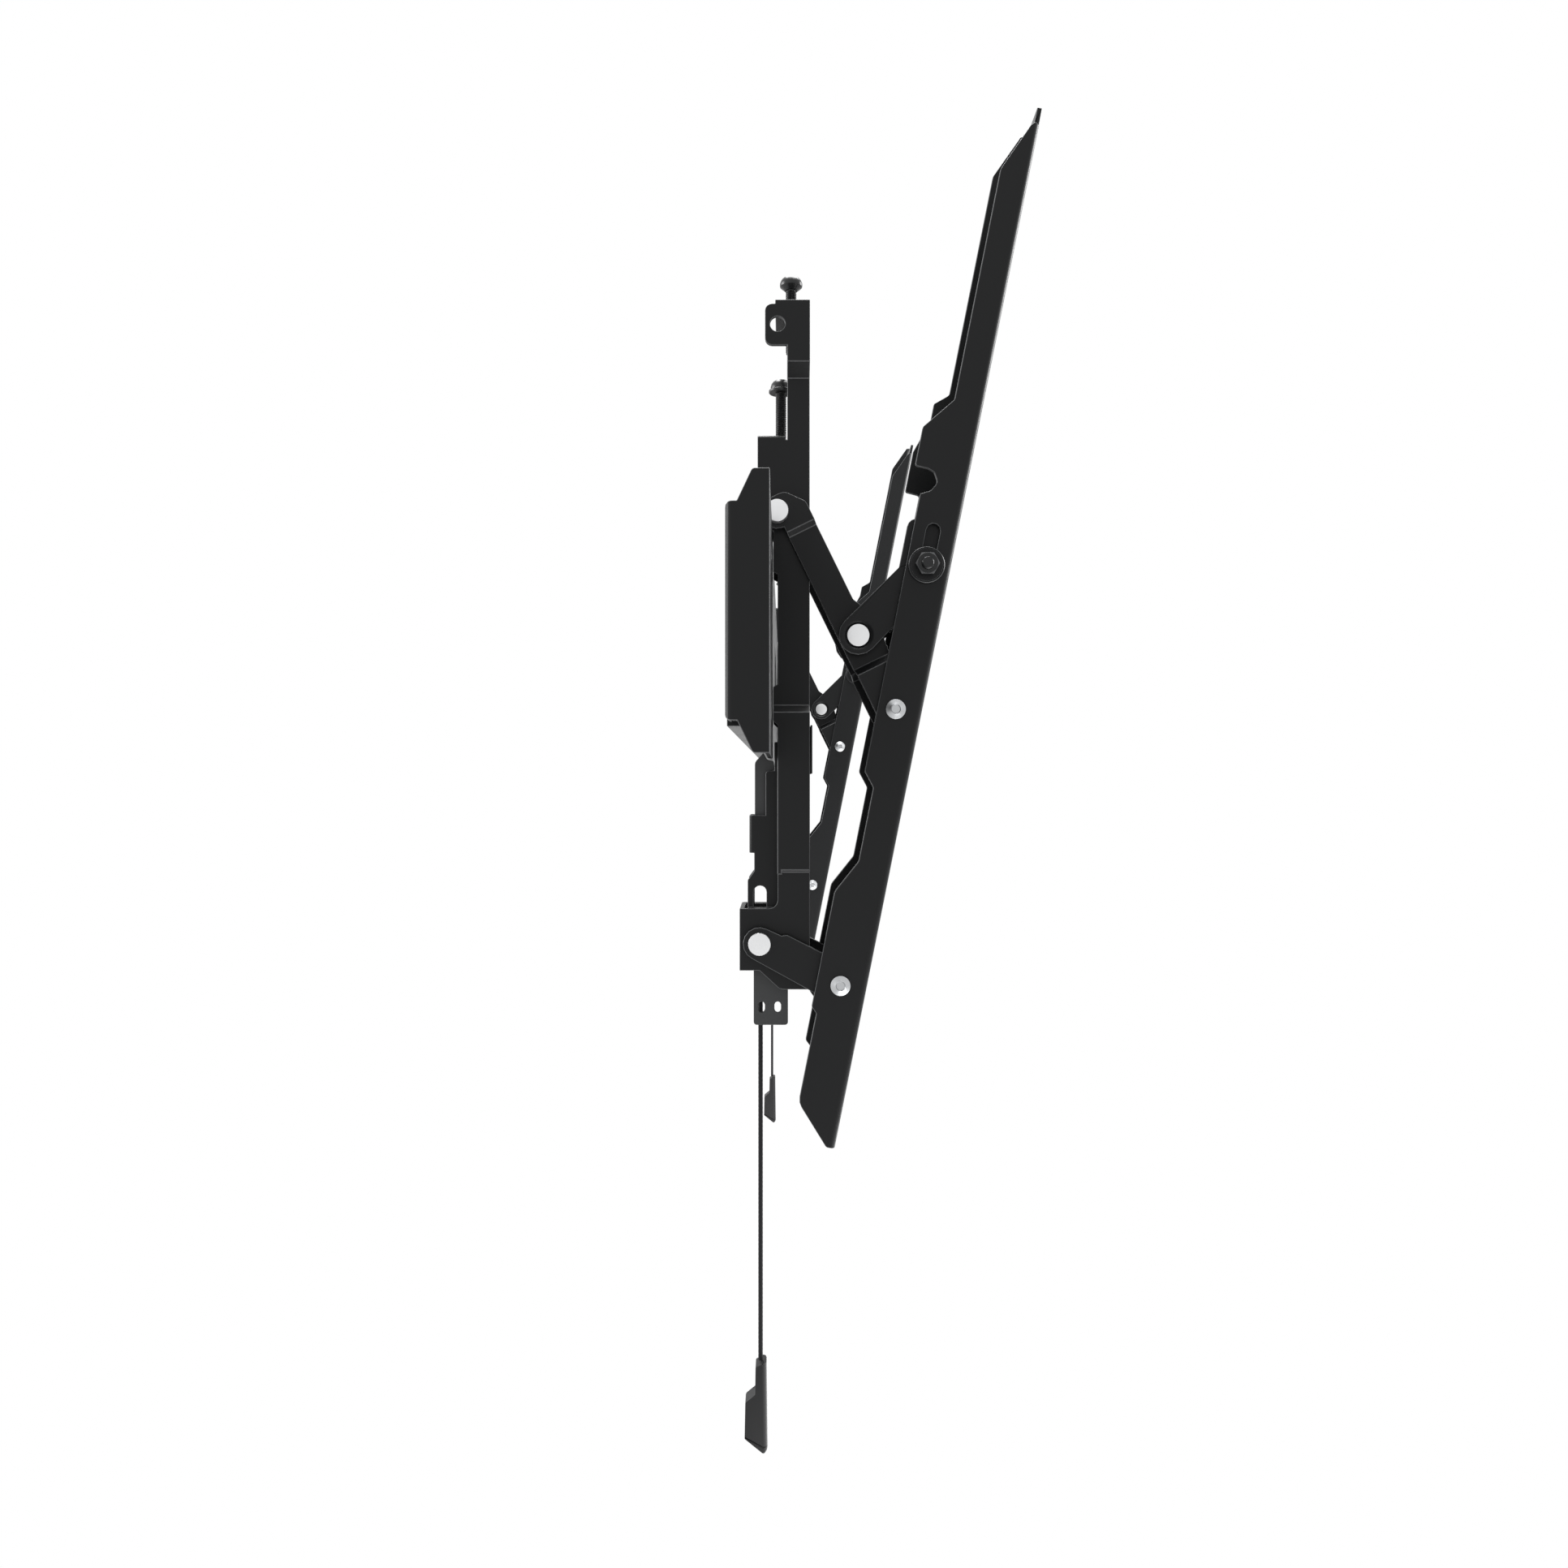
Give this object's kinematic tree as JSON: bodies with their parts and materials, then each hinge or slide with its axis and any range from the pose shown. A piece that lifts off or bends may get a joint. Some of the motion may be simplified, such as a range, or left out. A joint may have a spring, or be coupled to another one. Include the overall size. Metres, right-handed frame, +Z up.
{
  "type": "full motion tv wall mount",
  "caption": "Low-profile wall plate with slide-on hook channels whose folding linkages carry tall tilted brackets for a television, released by pull cords.",
  "frame": {"origin": "on the wall plane, at the middle of the wall plate's length and height", "axes": "+X to the right along the plate seen from the room, +Y into the wall, +Z up; the television is on the -Y side"},
  "size_m": [0.7066, 0.1307, 0.5781],
  "materials": {
    "powder_coat": "satin black powder coat",
    "latch_coat": "dark grey coat",
    "pin_zinc": "bright zinc",
    "rivet_steel": "satin steel",
    "black_zinc": "black zinc",
    "screw": "black oxide",
    "spring_steel": "drawn steel",
    "cord": "braided nylon",
    "handle_plastic": "moulded, matt",
    "rubber": "matt"
  },
  "bodies": {
    "wall_plate": {"wall_plate": "powder_coat", "upper_wall_rail": "powder_coat", "lower_wall_rail": "powder_coat"},
    "left_carriage": {"left_hook_channel": "powder_coat", "left_lip_saddle": "latch_coat", "left_bumper_pad": "rubber", "left_latch_spring": "spring_steel", "left_upper_pivot_pin": "pin_zinc", "left_lower_pivot_pin": "pin_zinc"},
    "left_height_screw": {"left_height_screw": "screw"},
    "left_lock_screw": {"left_lock_screw": "screw"},
    "left_latch": {"left_latch_plate": "latch_coat", "left_cord_ferrule": "spring_steel", "left_pull_cord": "cord", "left_cord_handle": "handle_plastic"},
    "left_upper_arm": {"left_upper_arm": "powder_coat", "left_link_pin_left": "pin_zinc", "left_link_pin_right": "pin_zinc"},
    "left_tilt_link": {"left_tilt_link": "powder_coat", "left_slot_bolt": "black_zinc", "left_slot_nut": "black_zinc", "left_slot_washer_left": "black_zinc", "left_slot_washer_right": "black_zinc"},
    "left_lower_arm": {"left_lower_arm": "powder_coat"},
    "left_tv_bracket": {"left_tv_bracket": "powder_coat", "left_arm_rivet_left": "rivet_steel", "left_arm_rivet_right": "rivet_steel", "left_foot_rivet_left": "rivet_steel", "left_foot_rivet_right": "rivet_steel"},
    "right_carriage": {"right_hook_channel": "powder_coat", "right_lip_saddle": "latch_coat", "right_bumper_pad": "rubber", "right_latch_spring": "spring_steel", "right_upper_pivot_pin": "pin_zinc", "right_lower_pivot_pin": "pin_zinc"},
    "right_height_screw": {"right_height_screw": "screw"},
    "right_lock_screw": {"right_lock_screw": "screw"},
    "right_latch": {"right_latch_plate": "latch_coat", "right_cord_ferrule": "spring_steel", "right_pull_cord": "cord", "right_cord_handle": "handle_plastic"},
    "right_upper_arm": {"right_upper_arm": "powder_coat", "right_link_pin_left": "pin_zinc", "right_link_pin_right": "pin_zinc"},
    "right_tilt_link": {"right_tilt_link": "powder_coat", "right_slot_bolt": "black_zinc", "right_slot_nut": "black_zinc", "right_slot_washer_left": "black_zinc", "right_slot_washer_right": "black_zinc"},
    "right_lower_arm": {"right_lower_arm": "powder_coat"},
    "right_tv_bracket": {"right_tv_bracket": "powder_coat", "right_arm_rivet_left": "rivet_steel", "right_arm_rivet_right": "rivet_steel", "right_foot_rivet_left": "rivet_steel", "right_foot_rivet_right": "rivet_steel"}
  },
  "joints": [
    {"name": "left_bracket_slide", "type": "slide", "parent": "wall_plate", "child": "left_carriage", "axis": [1, 0, 0], "range_m": [-0.07, 0.15]},
    {"name": "left_fold", "type": "hinge", "parent": "left_carriage", "child": "left_upper_arm", "pos_m": [-0.25, -0.0178, 0.0539], "axis": [1, 0, 0], "range_deg": [0, 21.5]},
    {"name": "left_tv_bracket_hinge", "type": "hinge", "parent": "left_upper_arm", "child": "left_tv_bracket", "pos_m": [-0.25, -0.06744, -0.0296], "axis": [1, 0, 0], "range_deg": [-32.2, 0]},
    {"name": "left_tilt_link_hinge", "type": "hinge", "parent": "left_upper_arm", "child": "left_tilt_link", "pos_m": [-0.25, -0.052, 0.0018], "axis": [1, 0, 0], "range_deg": [-59.5, 0]},
    {"name": "left_lower_arm_hinge", "type": "hinge", "parent": "left_carriage", "child": "left_lower_arm", "pos_m": [-0.25, -0.0104, -0.1282], "axis": [1, 0, 0], "range_deg": [0, 32.6]},
    {"name": "left_latch_pull", "type": "slide", "parent": "left_carriage", "child": "left_latch", "axis": [0, 0, -1], "range_m": [0, 0.007], "stiffness_N_per_m": 300, "springref_m": -0.012, "deforming": ["left_latch_spring"]},
    {"name": "left_height_screw_turn", "type": "hinge", "parent": "left_carriage", "child": "left_height_screw", "pos_m": [-0.25, -0.0194, 0.1], "axis": [0, 0, 1], "continuous": true},
    {"name": "left_lock_screw_turn", "type": "hinge", "parent": "left_carriage", "child": "left_lock_screw", "pos_m": [-0.25, -0.0238, 0.15], "axis": [0, 0, 1], "continuous": true},
    {"name": "right_bracket_slide", "type": "slide", "parent": "wall_plate", "child": "right_carriage", "axis": [1, 0, 0], "range_m": [-0.15, 0.07]},
    {"name": "right_fold", "type": "hinge", "parent": "right_carriage", "child": "right_upper_arm", "pos_m": [0.25, -0.0178, 0.0539], "axis": [1, 0, 0], "range_deg": [0, 21.5]},
    {"name": "right_tv_bracket_hinge", "type": "hinge", "parent": "right_upper_arm", "child": "right_tv_bracket", "pos_m": [0.25, -0.06744, -0.0296], "axis": [1, 0, 0], "range_deg": [-32.2, 0]},
    {"name": "right_tilt_link_hinge", "type": "hinge", "parent": "right_upper_arm", "child": "right_tilt_link", "pos_m": [0.25, -0.052, 0.0018], "axis": [1, 0, 0], "range_deg": [-59.5, 0]},
    {"name": "right_lower_arm_hinge", "type": "hinge", "parent": "right_carriage", "child": "right_lower_arm", "pos_m": [0.25, -0.0104, -0.1282], "axis": [1, 0, 0], "range_deg": [0, 32.6]},
    {"name": "right_latch_pull", "type": "slide", "parent": "right_carriage", "child": "right_latch", "axis": [0, 0, -1], "range_m": [0, 0.007], "stiffness_N_per_m": 300, "springref_m": -0.012, "deforming": ["right_latch_spring"]},
    {"name": "right_height_screw_turn", "type": "hinge", "parent": "right_carriage", "child": "right_height_screw", "pos_m": [0.25, -0.0194, 0.1], "axis": [0, 0, 1], "continuous": true},
    {"name": "right_lock_screw_turn", "type": "hinge", "parent": "right_carriage", "child": "right_lock_screw", "pos_m": [0.25, -0.0238, 0.15], "axis": [0, 0, 1], "continuous": true}
  ],
  "couplings": [
    {"joint": "left_tv_bracket_hinge", "follows": "left_fold", "ratio": -1.46},
    {"joint": "left_lower_arm_hinge", "follows": "left_fold", "ratio": 1.48},
    {"joint": "left_tilt_link_hinge", "follows": "left_fold", "ratio": -2.7},
    {"joint": "right_tv_bracket_hinge", "follows": "right_fold", "ratio": -1.46},
    {"joint": "right_lower_arm_hinge", "follows": "right_fold", "ratio": 1.48},
    {"joint": "right_tilt_link_hinge", "follows": "right_fold", "ratio": -2.7}
  ]
}
